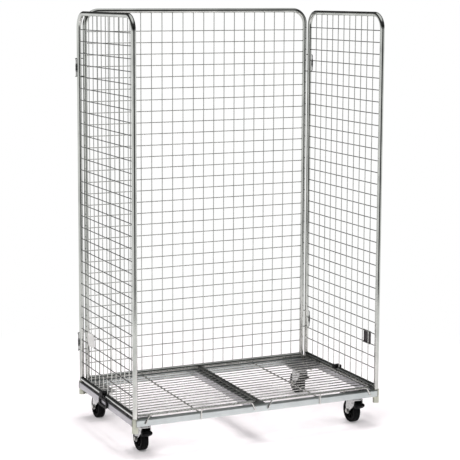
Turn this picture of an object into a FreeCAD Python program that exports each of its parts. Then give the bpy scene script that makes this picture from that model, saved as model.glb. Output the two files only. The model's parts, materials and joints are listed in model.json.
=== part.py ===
"""Roll cage container: wire mesh panels on three sides, a wire deck and four braked swivel casters.

Millimetres.  Origin on the ground under the middle of the cage, X to the right, the open front
towards -Y, Z up.
"""
import FreeCAD
import Part
import math
import os

V = FreeCAD.Vector

# ---------------------------------------------------------------- driving dimensions
# Panels
side_plane_x = 557.5        # middle of the cage to the tube centre of a side panel
post_y = 318.0              # middle of the cage to the tube centre of a corner post
back_post_inset = 26.5      # tube centre of a back panel post, inward from the side panel's
panel_tube_d = 20.0
panel_tube_wall = 1.5
panel_bend_radius = 62.0
post_foot_z = 109.0         # lower end of every post, inside its socket
side_top_z = 1766.5         # centre of the top tube of a side panel
side_rail_z = 172.5         # centre of the bottom tube of a side panel
back_top_z = 1776.5
back_rail_z = 170.5

# Mesh of the panels
mesh_wire_d = 4.0
mesh_pitch = 50.0
side_first_level_drop = 68.0    # top tube centre down to the first level wire
back_first_level_drop = 88.0
mesh_side_margin = 54.0         # the last upright wire stays at least this far from a post's centre
mesh_bottom_margin = 60.0       # the last level wire stays at least this far above the bottom tube

# Base frame
base_bottom_z = 131.0       # underside of the rails
base_rail_height = 28.0
base_rail_width = 28.0
base_rail_wall = 2.0
centre_beam_width = 60.0
socket_od = 26.0
socket_wall = 2.6
socket_bottom_z = 103.0
gusset_size = 114.0         # corner plate under the rails, from their centre lines inward
gusset_thickness = 4.0

# Deck: two wire grids, each under a bent rod border
deck_rod_d = 8.0
deck_bend_radius = 20.0
deck_inner_x = 7.0          # middle of the cage to the inner border rod's centre
deck_edge_gap = 2.0         # border rod to the bottom tubes of the panels around it
deck_wire_d = 5.0
deck_wire_pitch = 36.0
deck_edge_margin = 25.0     # the outermost deck wire stays at least this far inside the border's centre
deck_cross_wire_d = 6.0

# Front lips, which keep goods from sliding out
lip_wire_d = 6.0
lip_length = 455.0
lip_top_z = 177.0           # centre of the top run
lip_foot_z = 142.0
lip_prop_z = 132.0          # lower end of the prop under the middle
lip_flare = 18.0            # how far each lower end stands outward of the top run
lip_bend_radius = 12.0

# Name plates, clips and clasps
plate_thickness = 1.5
plate_centre_z = 373.5      # a plate covers the row of mesh at this height
left_plate_width = 73.0
left_plate_y = 182.0
right_plate_width = 60.0
right_plate_y = -230.0
clip_y = 32.0
clip_width = 38.0
clip_hook_y = 27.0          # the hook passes between two upright wires
clip_hook_width = 28.0
clip_thickness = 3.5
clip_top_height = 4.5       # thickness of the hook over the panel tube
clip_inner_depth = 8.0      # how far the hook reaches down inside the panel
clip_ring_y = 6.0           # finger ring at the clip's lower end, outside the base rail
clip_ring_z = 147.0
clip_ring_length = 96.0
clip_ring_height = 40.0
clip_ring_band = 11.0
clip_ring_thickness = 5.5
clasp_wire_d = 4.0
clasp_height = 66.0         # between the centres of its two level runs
clasp_side_clearance = 2.2  # inside of the clasp to the outer side of the post that it holds
clasp_back_clearance = 6.3  # inside of the clasp to the back of that post
clasp_upper_z = 1541.5
clasp_lower_z = 342.0
clasp_end_bend = 6.0
clasp_front_reach = 5.0     # how far the closed end stands in front of the post's centre
clasp_corner_bend = 8.0
clasp_grip_d = 7.0          # sleeve on the closed end, for the fingers
clasp_grip_length = 38.0

# Casters
kingpin_inset_x = 62.5      # kingpin axis, inward from the side panel's tube centre
kingpin_inset_y = 66.0      # kingpin axis, inward from the corner posts' centres
caster_trail = 30.0         # kingpin axis to wheel axis, towards the back
wheel_d = 100.0
wheel_width = 32.0
tread_thickness = 12.0
tread_round = 5.0
hub_web = 8.0
hub_rim = 4.0
hub_boss_d = 24.0
plate_x = 104.0
plate_y = 84.0
plate_z = 4.0
plate_corner = 6.0
bolt_spacing_x = 75.0
bolt_spacing_y = 60.0
bolt_d = 8.0
bolt_head_flats = 13.0
bolt_head_height = 5.3
bolt_nut_height = 6.5
race_d = 60.0               # pressed ball race under the top plate
race_depth = 7.0
fork_race_d = 54.0
fork_race_height = 5.5
fork_thickness = 3.5            # sheet of the fork
fork_front = 26.0           # front edge of the fork, from the kingpin axis
fork_back = 40.0
fork_knee_z = 86.0          # height at which the front edge of a leg turns to the axle
fork_boss_d = 26.0          # rounded end of a leg, around the axle
wheel_side_gap = 3.0        # side of the tread to the inside of a fork leg
axle_d = 10.0
axle_head_flats = 16.0
axle_head_height = 6.0
kingpin_d = 12.0
kingpin_head_d = 18.0
kingpin_head_height = 4.5

# Brake pedals
pedal_pivot_y = -10.0       # from the kingpin axis
pedal_pivot_z = 94.0
pedal_barrel_d = 10.0
pedal_pin_d = 6.0
pedal_reach = 49.0          # front of the pad, from the kingpin axis
pedal_pad_width = 46.0
pedal_pad_top = 8.0         # top of the pad above the pivot
pedal_pad_height = 29.0
pedal_pad_rise = 17.0       # the pad's underside slopes up this much to its tip
pedal_pad_gap = 3.0         # pad to the front of the fork
pedal_pad_corner = 12.0     # rounding of the pad's front corners
pedal_arm_thickness = 7.0
pedal_shoe_drop = 12.0      # the shoe's tip below the pivot
pedal_shoe_back = 1.0       # back of the shoe's tip, in front of the pivot
pedal_edge_round = 2.0

# Fits and clearances
weld_gap = 0.1              # between wires that cross and are welded
end_gap = 0.3               # between a wire's end and the tube that it is welded to
seat_gap = 0.2              # between a round piece and the flat that it rests on
socket_seat_gap = 0.5       # bottom tube of a panel above the rim of its socket
running_gap = 0.05          # radial, shaft in hole
side_gap = 0.4              # between faces that slide past each other
bolt_hole_gap = 0.3

# ---------------------------------------------------------------- derived sizes
back_post_x = side_plane_x - back_post_inset
kingpin_x = side_plane_x - kingpin_inset_x
kingpin_y = post_y - kingpin_inset_y
panel_tube_r = panel_tube_d / 2
mesh_wire_r = mesh_wire_d / 2
layer_offset = mesh_wire_r + weld_gap / 2
rail_top_z = base_bottom_z + base_rail_height
rail_half = base_rail_width / 2
socket_r = socket_od / 2
deck_rod_r = deck_rod_d / 2
deck_wire_z = rail_top_z + seat_gap + deck_wire_d / 2
deck_rod_z = deck_wire_z + deck_wire_d / 2 + weld_gap + deck_rod_r
deck_outer_x = side_plane_x - panel_tube_r - deck_edge_gap - deck_rod_r
deck_edge_y = post_y - panel_tube_r - deck_edge_gap - deck_rod_r
wheel_r = wheel_d / 2
axle_z = wheel_r
leg_inner = wheel_width / 2 + wheel_side_gap
leg_outer = leg_inner + fork_thickness
plate_top_z = base_bottom_z - gusset_thickness
race_bottom_z = plate_top_z - plate_z - race_depth
fork_race_top_z = race_bottom_z - side_gap
crown_top_z = fork_race_top_z - fork_race_height
crown_bottom_z = crown_top_z - fork_thickness


# ---------------------------------------------------------------- helpers
def cylinder(radius, start, end):
    """Round bar between two points."""
    axis = end - start
    return Part.makeCylinder(radius, axis.Length, start, axis)


def tube(radius, wall, start, end):
    """Round tube between two points."""
    return cylinder(radius, start, end).cut(cylinder(radius - wall, start, end))


def block(low, high):
    """Box between its lowest and highest corners."""
    size = high - low
    return Part.makeBox(size.x, size.y, size.z, low)


def bent_path(points, radii):
    """Straight runs through the points, joined by tangent arcs of the given radii."""
    edges = []
    start = points[0]
    for index in range(1, len(points) - 1):
        corner = points[index]
        back = (points[index - 1] - corner).normalize()
        ahead = (points[index + 1] - corner).normalize()
        half_angle = back.getAngle(ahead) / 2
        radius = radii[index - 1]
        setback = radius / math.tan(half_angle)
        bisector = (back + ahead).normalize()
        centre = corner + bisector * (radius / math.sin(half_angle))
        arc_start = corner + back * setback
        arc_end = corner + ahead * setback
        edges.append(Part.LineSegment(start, arc_start).toShape())
        edges.append(Part.Arc(arc_start, centre - bisector * radius, arc_end).toShape())
        start = arc_end
    edges.append(Part.LineSegment(start, points[-1]).toShape())
    return Part.Wire(edges)


def bent_bar(points, radii, bar_radius):
    """Round bar along a bent path."""
    path = bent_path(points, radii)
    circle = Part.Circle(points[0], points[1] - points[0], bar_radius).toShape()
    return path.makePipe(Part.Face(Part.Wire([circle])))


def bar_pieces(points, radii, bar_radius):
    """Each run and each bend of a round bar along a bent path, as a solid of its own."""
    pieces = []
    for edge in bent_path(points, radii).Edges:
        start = edge.valueAt(edge.FirstParameter)
        along = edge.tangentAt(edge.FirstParameter)
        circle = Part.Circle(start, along, bar_radius).toShape()
        pieces.append(Part.Wire([edge]).makePipe(Part.Face(Part.Wire([circle]))))
    return pieces


def bent_tube(points, radii, tube_radius, wall):
    """Round tube along a bent path."""
    outside = bent_bar(points, radii, tube_radius)
    bore = bent_bar(points, radii, tube_radius - wall)
    return outside.cut(bore)


def prism(outline, origin, along):
    """Flat outline of points, moved to origin and pushed along a direction."""
    wire = Part.makePolygon([origin + point for point in outline + outline[:1]])
    return Part.Face(wire).extrude(along)


def hexagon(flats, height, centre, axis):
    """Hexagon head or nut, rising from centre along axis."""
    corner_radius = flats / math.sqrt(3)
    side = axis.cross(V(0, 0, 1)) if abs(axis.z) < 0.5 else V(1, 0, 0)
    up = axis.cross(side)
    corners = []
    for index in range(6):
        angle = math.radians(60 * index)
        corners.append((side * math.cos(angle) + up * math.sin(angle)) * corner_radius)
    return prism(corners, centre, axis * height)


def centred_steps(half_range, pitch):
    """Places a pitch apart, set evenly about zero, none beyond the half range."""
    intervals = int(2 * half_range / pitch)
    return [(index - intervals / 2) * pitch for index in range(intervals + 1)]


def write(node, solids):
    """Write one node: a single solid, or a group of separate solids."""
    shape = solids[0] if len(solids) == 1 else Part.makeCompound(solids)
    shape.exportStep("parts/" + node + ".step")


# ---------------------------------------------------------------- panels
def arch(half_span, top_z, place):
    """Bent tube of a panel: two posts and the top run.  place maps (along, z) to a point."""
    corners = [(-half_span, post_foot_z), (-half_span, top_z), (half_span, top_z), (half_span, post_foot_z)]
    points = [place(along, z) for along, z in corners]
    return bent_tube(points, [panel_bend_radius] * 2, panel_tube_r, panel_tube_wall)


def arch_inside(half_span, top_z, distance):
    """Height of the underside of an arch at a distance from its middle."""
    into_bend = max(0.0, distance - (half_span - panel_bend_radius))
    inner_radius = panel_bend_radius - panel_tube_r
    return top_z - panel_bend_radius + math.sqrt(max(0.0, inner_radius ** 2 - into_bend ** 2))


def level_heights(top_z, first_drop, rail_z):
    """Heights of the level wires of a panel."""
    first = top_z - first_drop
    count = int((first - rail_z - mesh_bottom_margin) / mesh_pitch) + 1
    return [first - mesh_pitch * index for index in range(count)]


def mesh(half_span, top_z, first_drop, rail_z, inner_place, outer_place):
    """Upright wires in the inner layer and level wires in the outer layer of a panel."""
    wires = []
    for along in centred_steps(half_span - mesh_side_margin, mesh_pitch):
        top = arch_inside(half_span, top_z, abs(along) + mesh_wire_r) - end_gap
        bottom = rail_z + panel_tube_r + end_gap
        wires.append(cylinder(mesh_wire_r, inner_place(along, bottom), inner_place(along, top)))
    reach = half_span - panel_tube_r - end_gap
    for z in level_heights(top_z, first_drop, rail_z):
        wires.append(cylinder(mesh_wire_r, outer_place(-reach, z), outer_place(reach, z)))
    return wires


def bottom_rail(half_span, rail_z, place):
    """Bottom tube of a panel, with its ends shaped to the posts."""
    rail = tube(panel_tube_r, panel_tube_wall, place(-half_span, rail_z), place(half_span, rail_z))
    for end in (-half_span, half_span):
        low = place(end, rail_z - panel_tube_d)
        high = place(end, rail_z + panel_tube_d)
        rail = rail.cut(cylinder(panel_tube_r + weld_gap, low, high))
    return rail


def at_x(x):
    """Placer for a panel that stands across X."""
    return lambda along, z: V(x, along, z)


def at_y(y):
    """Placer for a panel that stands across Y."""
    return lambda along, z: V(along, y, z)


def name_plate(side, centre_y, width):
    """Bare plate over one row of mesh, with folded edges that hook over two level wires."""
    heights = level_heights(side_top_z, side_first_level_drop, side_rail_z)
    upper_wire = min(z for z in heights if z > plate_centre_z)
    lower_wire = max(z for z in heights if z < plate_centre_z)
    upper_z = upper_wire + mesh_wire_r + side_gap + plate_thickness
    lower_z = lower_wire - mesh_wire_r - side_gap - plate_thickness
    wire_x = side_plane_x + layer_offset
    face_x = wire_x + mesh_wire_r + end_gap
    fold_x = wire_x - mesh_wire_r + end_gap
    back_y = centre_y - width / 2
    front_y = centre_y + width / 2
    plate = block(V(fold_x, back_y, lower_z), V(face_x + plate_thickness, front_y, upper_z))
    hollow_low = V(fold_x - plate_thickness, back_y - plate_thickness, lower_z + plate_thickness)
    hollow_high = V(face_x, front_y + plate_thickness, upper_z - plate_thickness)
    plate = plate.cut(block(hollow_low, hollow_high))
    return mirrored(plate, side)


def mirrored(shape, side):
    """The shape itself on the right (+1), its mirror image on the left (-1)."""
    return shape if side > 0 else shape.mirror(V(0, 0, 0), V(1, 0, 0))


def clip(side):
    """Plastic clip: hooks over the bottom tube of a side panel and down outside the base rail."""
    tube_top = side_rail_z + panel_tube_r + side_gap
    outer_x = side_plane_x + rail_half + side_gap
    inner_x = side_plane_x - panel_tube_r - side_gap
    half = clip_width / 2
    hook_low = clip_hook_y - clip_hook_width / 2
    hook_high = clip_hook_y + clip_hook_width / 2
    ring_top = clip_ring_z + clip_ring_height / 2
    apron = block(V(outer_x, clip_y - half, ring_top - clip_ring_band),
                  V(outer_x + clip_thickness, clip_y + half, side_rail_z + panel_tube_r))
    cap = block(V(inner_x - clip_thickness, hook_low, tube_top),
                V(outer_x + clip_thickness, hook_high, tube_top + clip_top_height))
    neck = block(V(outer_x, hook_low, side_rail_z), V(outer_x + clip_thickness, hook_high, tube_top))
    lip = block(V(inner_x - clip_thickness, hook_low, tube_top - clip_inner_depth),
                V(inner_x, hook_high, tube_top))
    body = apron.fuse([cap, neck, lip, clip_ring(outer_x)]).removeSplitter()
    return mirrored(body, side)


def clip_ring(outer_x):
    """Long ring for the fingers, standing on the plane at outer_x."""
    along = V(clip_ring_thickness, 0, 0)
    shapes = []
    for inset in (0, clip_ring_band):
        radius = clip_ring_height / 2 - inset
        reach = (clip_ring_length - clip_ring_height) / 2
        low = V(outer_x, clip_ring_y - reach, clip_ring_z - radius)
        shape = block(low, V(outer_x + clip_ring_thickness, clip_ring_y + reach, clip_ring_z + radius))
        for y in (clip_ring_y - reach, clip_ring_y + reach):
            end = V(outer_x, y, clip_ring_z)
            shape = shape.fuse(cylinder(radius, end, end + along))
        shapes.append(shape)
    return shapes[0].cut(shapes[1])


def clasp(side, centre_z):
    """Bent wire from the back panel's post, around the side panel's rear post, with a grip on its end."""
    wire_r = clasp_wire_d / 2
    side_reach = panel_tube_r + clasp_side_clearance + wire_r
    rear_y = post_y + panel_tube_r + clasp_back_clearance + wire_r
    outer_x = side_plane_x + side_reach
    start_y = post_y + panel_tube_r + end_gap
    closed_y = post_y - clasp_front_reach
    plan = [(back_post_x, start_y), (back_post_x, rear_y), (outer_x, rear_y), (outer_x, closed_y)]
    upper = [V(x, y, centre_z + clasp_height / 2) for x, y in plan]
    lower = [V(x, y, centre_z - clasp_height / 2) for x, y in plan]
    points = upper + lower[::-1]
    radii = [clasp_end_bend, side_reach, clasp_corner_bend]
    solids = bar_pieces(points, radii + radii[::-1], wire_r)
    half_grip = V(0, 0, clasp_grip_length / 2)
    middle = V(outer_x, closed_y, centre_z)
    grip_r = clasp_grip_d / 2
    solids.append(tube(grip_r, grip_r - wire_r - weld_gap, middle - half_grip, middle + half_grip))
    return [mirrored(solid, side) for solid in solids]


def write_side_panel(name, side, plate_y_centre, plate_width):
    plane = at_x(side * side_plane_x)
    inner = at_x(side * (side_plane_x - layer_offset))
    outer = at_x(side * (side_plane_x + layer_offset))
    write(name + "_panel_frame", [arch(post_y, side_top_z, plane)])
    write(name + "_panel_bottom_tube", [bottom_rail(post_y, side_rail_z, plane)])
    write(name + "_panel_mesh", mesh(post_y, side_top_z, side_first_level_drop, side_rail_z, inner, outer))
    write(name + "_name_plate", [name_plate(side, plate_y_centre, plate_width)])
    write(name + "_clip", [clip(side)])


def write_back_panel():
    plane = at_y(post_y)
    inner = at_y(post_y - layer_offset)
    outer = at_y(post_y + layer_offset)
    write("back_panel_frame", [arch(back_post_x, back_top_z, plane)])
    write("back_panel_bottom_tube", [bottom_rail(back_post_x, back_rail_z, plane)])
    wires = mesh(back_post_x, back_top_z, back_first_level_drop, back_rail_z, inner, outer)
    write("back_panel_mesh", wires)
    clasps = []
    for side in (-1, 1):
        for z in (clasp_lower_z, clasp_upper_z):
            clasps += clasp(side, z)
    write("back_panel_clasps", clasps)


# ---------------------------------------------------------------- base frame
def socket(x, y, panel_rail_z):
    """Open tube that a post stands in; its rim carries the panel's bottom tube."""
    top = panel_rail_z - panel_tube_r - socket_seat_gap
    return tube(socket_r, socket_wall, V(x, y, socket_bottom_z), V(x, y, top))


def rail(low, high, along):
    """Rectangular tube; along is the unit vector of its length."""
    wall = V(base_rail_wall, base_rail_wall, base_rail_wall)
    inset = wall - along * base_rail_wall
    through = along * base_rail_wall
    return block(low, high).cut(block(low + inset - through, high - inset + through))


def side_rail(side):
    length_half = post_y - socket_r - seat_gap
    low = V(side * side_plane_x - rail_half, -length_half, base_bottom_z)
    high = V(side * side_plane_x + rail_half, length_half, rail_top_z)
    return rail(low, high, V(0, 1, 0))


def cross_rail(end, socket_x):
    """Front (-1) or rear (+1) rail, between the sockets at socket_x."""
    half = socket_x - socket_r - seat_gap
    low = V(-half, end * post_y - rail_half, base_bottom_z)
    high = V(half, end * post_y + rail_half, rail_top_z)
    body = rail(low, high, V(1, 0, 0))
    for side in (-1, 1):
        corner = side_plane_x - rail_half
        notch_low = V(min(side * corner, side * side_plane_x), end * post_y - rail_half, base_bottom_z)
        notch_high = V(max(side * corner, side * side_plane_x), end * post_y + rail_half, rail_top_z)
        body = body.cut(block(notch_low, notch_high))
    return body


def bolt_places():
    """Offsets of the four bolts from a kingpin."""
    return [V(x * bolt_spacing_x / 2, y * bolt_spacing_y / 2, 0) for x in (-1, 1) for y in (-1, 1)]


def gusset(side, end, socket_x):
    """Corner plate under two rails, out to their centre lines, cut off short of the socket at socket_x."""
    edge_x = side_plane_x
    edge_y = post_y
    cut_sum = socket_x + post_y - (socket_r + weld_gap) * math.sqrt(2)
    outline = [V(edge_x - gusset_size, edge_y - gusset_size, 0), V(edge_x, edge_y - gusset_size, 0),
               V(edge_x, cut_sum - edge_x, 0), V(cut_sum - edge_y, edge_y, 0),
               V(edge_x - gusset_size, edge_y, 0)]
    centre = V(kingpin_x, kingpin_y, plate_top_z)
    up = V(0, 0, gusset_thickness)
    plate = prism(outline, V(0, 0, plate_top_z), up)
    for offset in bolt_places():
        plate = plate.cut(cylinder(bolt_d / 2 + bolt_hole_gap, centre + offset, centre + offset + up))
    plate = mirrored(plate, side)
    return plate if end > 0 else plate.mirror(V(0, 0, 0), V(0, 1, 0))


def write_base():
    write("front_rail", [cross_rail(-1, side_plane_x)])
    write("rear_rail", [cross_rail(1, back_post_x)])
    beam_half = centre_beam_width / 2
    beam_reach = post_y - rail_half
    beam_low = V(-beam_half, -beam_reach, base_bottom_z)
    beam_high = V(beam_half, beam_reach, rail_top_z)
    write("centre_beam", [rail(beam_low, beam_high, V(0, 1, 0))])
    for name, side in (("left", -1), ("right", 1)):
        write(name + "_rail", [side_rail(side)])
        for corner, end in (("front", -1), ("rear", 1)):
            place = (side * side_plane_x, end * post_y)
            write(corner + "_" + name + "_socket", [socket(place[0], place[1], side_rail_z)])
    write("back_panel_sockets", [socket(side * back_post_x, post_y, back_rail_z) for side in (-1, 1)])
    corners = ((-1, side_plane_x), (1, back_post_x))
    write("corner_gussets", [gusset(side, end, x) for side in (-1, 1) for end, x in corners])


# ---------------------------------------------------------------- deck
def deck_border(side):
    """Bent rod around one half of the deck: four straight runs and four bends."""
    inner = deck_inner_x
    outer = deck_outer_x
    radius = deck_bend_radius
    solids = []
    for y in (-deck_edge_y, deck_edge_y):
        start = V(inner + radius, y, deck_rod_z)
        solids.append(cylinder(deck_rod_r, start, V(outer - radius, y, deck_rod_z)))
    for x in (inner, outer):
        start = V(x, -deck_edge_y + radius, deck_rod_z)
        solids.append(cylinder(deck_rod_r, start, V(x, deck_edge_y - radius, deck_rod_z)))
    for x, into_x in ((inner, 1), (outer, -1)):
        for y, into_y in ((-deck_edge_y, 1), (deck_edge_y, -1)):
            solids.append(deck_bend(V(x, y, deck_rod_z), into_x, into_y))
    return [mirrored(solid, side) for solid in solids]


def deck_bend(corner, into_x, into_y):
    """Quarter bend of the border rod, tangent to the two runs that meet at corner."""
    radius = deck_bend_radius
    centre = corner + V(into_x * radius, into_y * radius, 0)
    start = corner + V(into_x * radius, 0, 0)
    end = corner + V(0, into_y * radius, 0)
    middle = centre - V(into_x, into_y, 0).normalize() * radius
    path = Part.Wire([Part.Arc(start, middle, end).toShape()])
    circle = Part.Circle(start, V(1, 0, 0), deck_rod_r).toShape()
    return path.makePipe(Part.Face(Part.Wire([circle])))


def deck_grid(side):
    """Deck wires across one half, from rail to centre beam, over one cross wire."""
    wire_r = deck_wire_d / 2
    wires = []
    for y in centred_steps(deck_edge_y - deck_edge_margin, deck_wire_pitch):
        start = V(deck_inner_x - deck_rod_r, y, deck_wire_z)
        wires.append(cylinder(wire_r, start, V(deck_outer_x + deck_rod_r, y, deck_wire_z)))
    cross_r = deck_cross_wire_d / 2
    cross_z = deck_wire_z - wire_r - weld_gap - cross_r
    middle_x = (deck_inner_x + deck_outer_x) / 2
    reach = post_y - rail_half - end_gap
    wires.append(cylinder(cross_r, V(middle_x, -reach, cross_z), V(middle_x, reach, cross_z)))
    return [mirrored(wire, side) for wire in wires]


def deck_lip(side):
    """Low wire hoop on the front rail, with a prop under its middle."""
    wire_r = lip_wire_d / 2
    y = -(post_y + rail_half + end_gap + wire_r)
    middle_x = side * (deck_inner_x + deck_outer_x) / 2
    half = lip_length / 2
    foot = half + lip_flare
    corners = [(-foot, lip_foot_z), (-half, lip_top_z), (half, lip_top_z), (foot, lip_foot_z)]
    points = [V(middle_x + x, y, z) for x, z in corners]
    hoop = bent_bar(points, [lip_bend_radius] * 2, wire_r)
    prop = cylinder(wire_r, V(middle_x, y, lip_prop_z), V(middle_x, y, lip_top_z - wire_r - end_gap))
    return [hoop, prop]


def write_deck():
    for name, side in (("left", -1), ("right", 1)):
        write(name + "_deck_border", deck_border(side))
        write(name + "_deck_grid", deck_grid(side))
        write(name + "_deck_lip", deck_lip(side))


# ---------------------------------------------------------------- casters
def top_plate(pin):
    """Caster's mounting plate with its pressed upper ball race; pin is the kingpin at plate top."""
    low = pin - V(plate_x / 2, plate_y / 2, plate_z)
    high = pin + V(plate_x / 2, plate_y / 2, 0)
    plate = block(low, high)
    corners = [edge for edge in plate.Edges if edge.Length < plate_z + seat_gap]
    plate = plate.makeFillet(plate_corner, corners)
    race_low = pin - V(0, 0, plate_z + race_depth)
    race = Part.makeCone(race_d / 2 - race_depth / 2, race_d / 2, race_depth, race_low)
    plate = plate.fuse(race)
    bottom = pin - V(0, 0, plate_z + race_depth)
    plate = plate.cut(cylinder(kingpin_d / 2 + running_gap, bottom, pin))
    for offset in bolt_places():
        hole = cylinder(bolt_d / 2 + bolt_hole_gap, pin + offset - V(0, 0, plate_z), pin + offset)
        plate = plate.cut(hole)
    return plate


def kingpin(pin):
    """Rivet through the top plate and the fork, with its head under the fork's crown."""
    head_top = V(pin.x, pin.y, crown_bottom_z - side_gap)
    head_bottom = head_top - V(0, 0, kingpin_head_height)
    shank = cylinder(kingpin_d / 2, head_bottom, pin - V(0, 0, seat_gap))
    head = Part.makeCone(kingpin_head_d / 2 - 1, kingpin_head_d / 2, kingpin_head_height, head_bottom)
    return shank.fuse(head).removeSplitter()


def fork(pin):
    """Pressed fork: crown with lower ball race, and two legs that carry the axle and the pedal."""
    ground = V(pin.x, pin.y, 0)
    crown_low = ground + V(-leg_outer, -fork_front, crown_bottom_z)
    crown_high = ground + V(leg_outer, fork_back, crown_top_z)
    crown = block(crown_low, crown_high)
    disc = cylinder(race_d / 2, ground + V(0, 0, crown_bottom_z), ground + V(0, 0, crown_top_z))
    race_low = ground + V(0, 0, crown_top_z)
    race_top_r = (fork_race_d - fork_race_height) / 2
    race = Part.makeCone(fork_race_d / 2, race_top_r, fork_race_height, race_low)
    boss_r = fork_boss_d / 2
    outline = [V(0, -fork_front, crown_top_z), V(0, fork_back, crown_top_z),
               V(0, caster_trail + boss_r, axle_z), V(0, caster_trail - boss_r, axle_z),
               V(0, -fork_front, fork_knee_z)]
    body = crown.fuse([disc, race])
    axle_centre = ground + V(0, caster_trail, axle_z)
    for start_x in (-leg_outer, leg_inner):
        leg = prism(outline, ground + V(start_x, 0, 0), V(fork_thickness, 0, 0))
        boss_start = axle_centre + V(start_x, 0, 0)
        boss = cylinder(boss_r, boss_start, boss_start + V(fork_thickness, 0, 0))
        body = body.fuse([leg, boss])
    body = body.removeSplitter()
    axis_top = V(pin.x, pin.y, fork_race_top_z)
    body = body.cut(cylinder(kingpin_d / 2 + running_gap, ground + V(0, 0, crown_bottom_z), axis_top))
    body = body.cut(cross_bar(axle_centre, axle_d / 2 + running_gap, leg_outer))
    pivot = ground + V(0, pedal_pivot_y, pedal_pivot_z)
    return body.cut(cross_bar(pivot, pedal_pin_d / 2 + running_gap, leg_outer))


def cross_bar(centre, radius, half_length):
    """Round bar along X about a centre."""
    return cylinder(radius, centre - V(half_length, 0, 0), centre + V(half_length, 0, 0))


def axle(pin):
    """Bolt and nut through the fork legs and the hub."""
    centre = V(pin.x, pin.y + caster_trail, axle_z)
    shank = cross_bar(centre, axle_d / 2, leg_outer + axle_head_height)
    head = hexagon(axle_head_flats, axle_head_height, centre + V(leg_outer, 0, 0), V(1, 0, 0))
    nut = hexagon(axle_head_flats, axle_head_height, centre - V(leg_outer, 0, 0), V(-1, 0, 0))
    return shank.fuse([head, nut]).removeSplitter()


def wheel_centre(pin):
    return V(pin.x, pin.y + caster_trail, axle_z)


def tyre(pin):
    """Solid tread with rounded shoulders."""
    centre = wheel_centre(pin)
    body = cross_bar(centre, wheel_r, wheel_width / 2)
    body = body.makeFillet(tread_round, body.Edges[0:3:2])
    return body.cut(cross_bar(centre, wheel_r - tread_thickness, wheel_width / 2))


def hub(pin):
    """Wheel centre: rim under the tread, web and boss, bored for the axle."""
    centre = wheel_centre(pin)
    rim_r = wheel_r - tread_thickness - weld_gap
    rim = cross_bar(centre, rim_r, wheel_width / 2 - tread_round / 2)
    rim = rim.cut(cross_bar(centre, rim_r - hub_rim, wheel_width / 2))
    web = cross_bar(centre, rim_r - hub_rim / 2, hub_web / 2)
    boss = cross_bar(centre, hub_boss_d / 2, leg_inner - side_gap)
    body = rim.fuse([web, boss]).removeSplitter()
    return body.cut(cross_bar(centre, axle_d / 2 + running_gap, leg_inner))


def pedal(pin):
    """Brake pedal: barrel and pins at the pivot, a foot pad in front and a shoe at the tread."""
    pivot = V(pin.x, pin.y + pedal_pivot_y, pedal_pivot_z)
    barrel_r = pedal_barrel_d / 2
    inner_half = leg_inner - side_gap
    tip = pedal_pivot_y + pedal_reach
    pad_start = fork_front + pedal_pivot_y + pedal_pad_gap
    half_arm = pedal_arm_thickness / 2
    arm_outline = [V(0, 0, barrel_r), V(0, -pad_start, half_arm), V(0, -pad_start, -half_arm),
                   V(0, 0, -barrel_r)]
    arm = prism(arm_outline, pivot - V(inner_half, 0, 0), V(2 * inner_half, 0, 0))
    pad = block(pivot + V(-pedal_pad_width / 2, -tip, pedal_pad_top - pedal_pad_height),
                pivot + V(pedal_pad_width / 2, -pad_start, pedal_pad_top))
    front_edges = [edge for edge in pad.Edges if is_upright_front(edge, pivot.y - tip)]
    pad = pad.makeFillet(pedal_pad_corner, front_edges)
    rim_edges = [edge for edge in pad.Edges if is_rim(edge, pivot.y - pad_start)]
    pad = pad.makeFillet(pedal_edge_round, rim_edges)
    pad_bottom = pedal_pad_top - pedal_pad_height
    slope_outline = [V(0, -pad_start, pad_bottom), V(0, -tip, pad_bottom + pedal_pad_rise),
                     V(0, -tip, pad_bottom)]
    slope = prism(slope_outline, pivot - V(pedal_pad_width / 2, 0, 0), V(pedal_pad_width, 0, 0))
    pad = pad.cut(slope)
    shoe_outline = [V(0, 0, 0), V(0, -barrel_r, 0), V(0, -barrel_r, -pedal_shoe_drop),
                    V(0, -pedal_shoe_back, -pedal_shoe_drop)]
    half_shoe = wheel_width / 2 - pedal_edge_round
    shoe = prism(shoe_outline, pivot - V(half_shoe, 0, 0), V(2 * half_shoe, 0, 0))
    barrel = cross_bar(pivot, barrel_r, inner_half)
    pins = cross_bar(pivot, pedal_pin_d / 2, leg_outer)
    return barrel.fuse([arm, pad, shoe, pins]).removeSplitter()


def is_upright_front(edge, front_y):
    """True for an upright edge of the pad's front face."""
    first = edge.Vertexes[0].Point
    last = edge.Vertexes[-1].Point
    upright = abs(first.x - last.x) < seat_gap and abs(first.y - last.y) < seat_gap
    return upright and abs(first.y - front_y) < seat_gap


def is_rim(edge, back_y):
    """True for an edge around the pad's top or bottom face, clear of its back face."""
    low = min(vertex.Z for vertex in edge.Vertexes)
    high = max(vertex.Z for vertex in edge.Vertexes)
    at_back = all(abs(vertex.Y - back_y) < seat_gap for vertex in edge.Vertexes)
    return high - low < seat_gap and not at_back


def caster_bolt(place):
    """Bolt from below through plate and gusset, with its nut on top; place is at the plate's top."""
    head = hexagon(bolt_head_flats, bolt_head_height, place - V(0, 0, plate_z), V(0, 0, -1))
    nut = hexagon(bolt_head_flats, bolt_nut_height, place + V(0, 0, gusset_thickness), V(0, 0, 1))
    top = place + V(0, 0, gusset_thickness + bolt_nut_height + 2)
    shank = cylinder(bolt_d / 2, place - V(0, 0, plate_z), top)
    return shank.fuse([head, nut]).removeSplitter()


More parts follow.
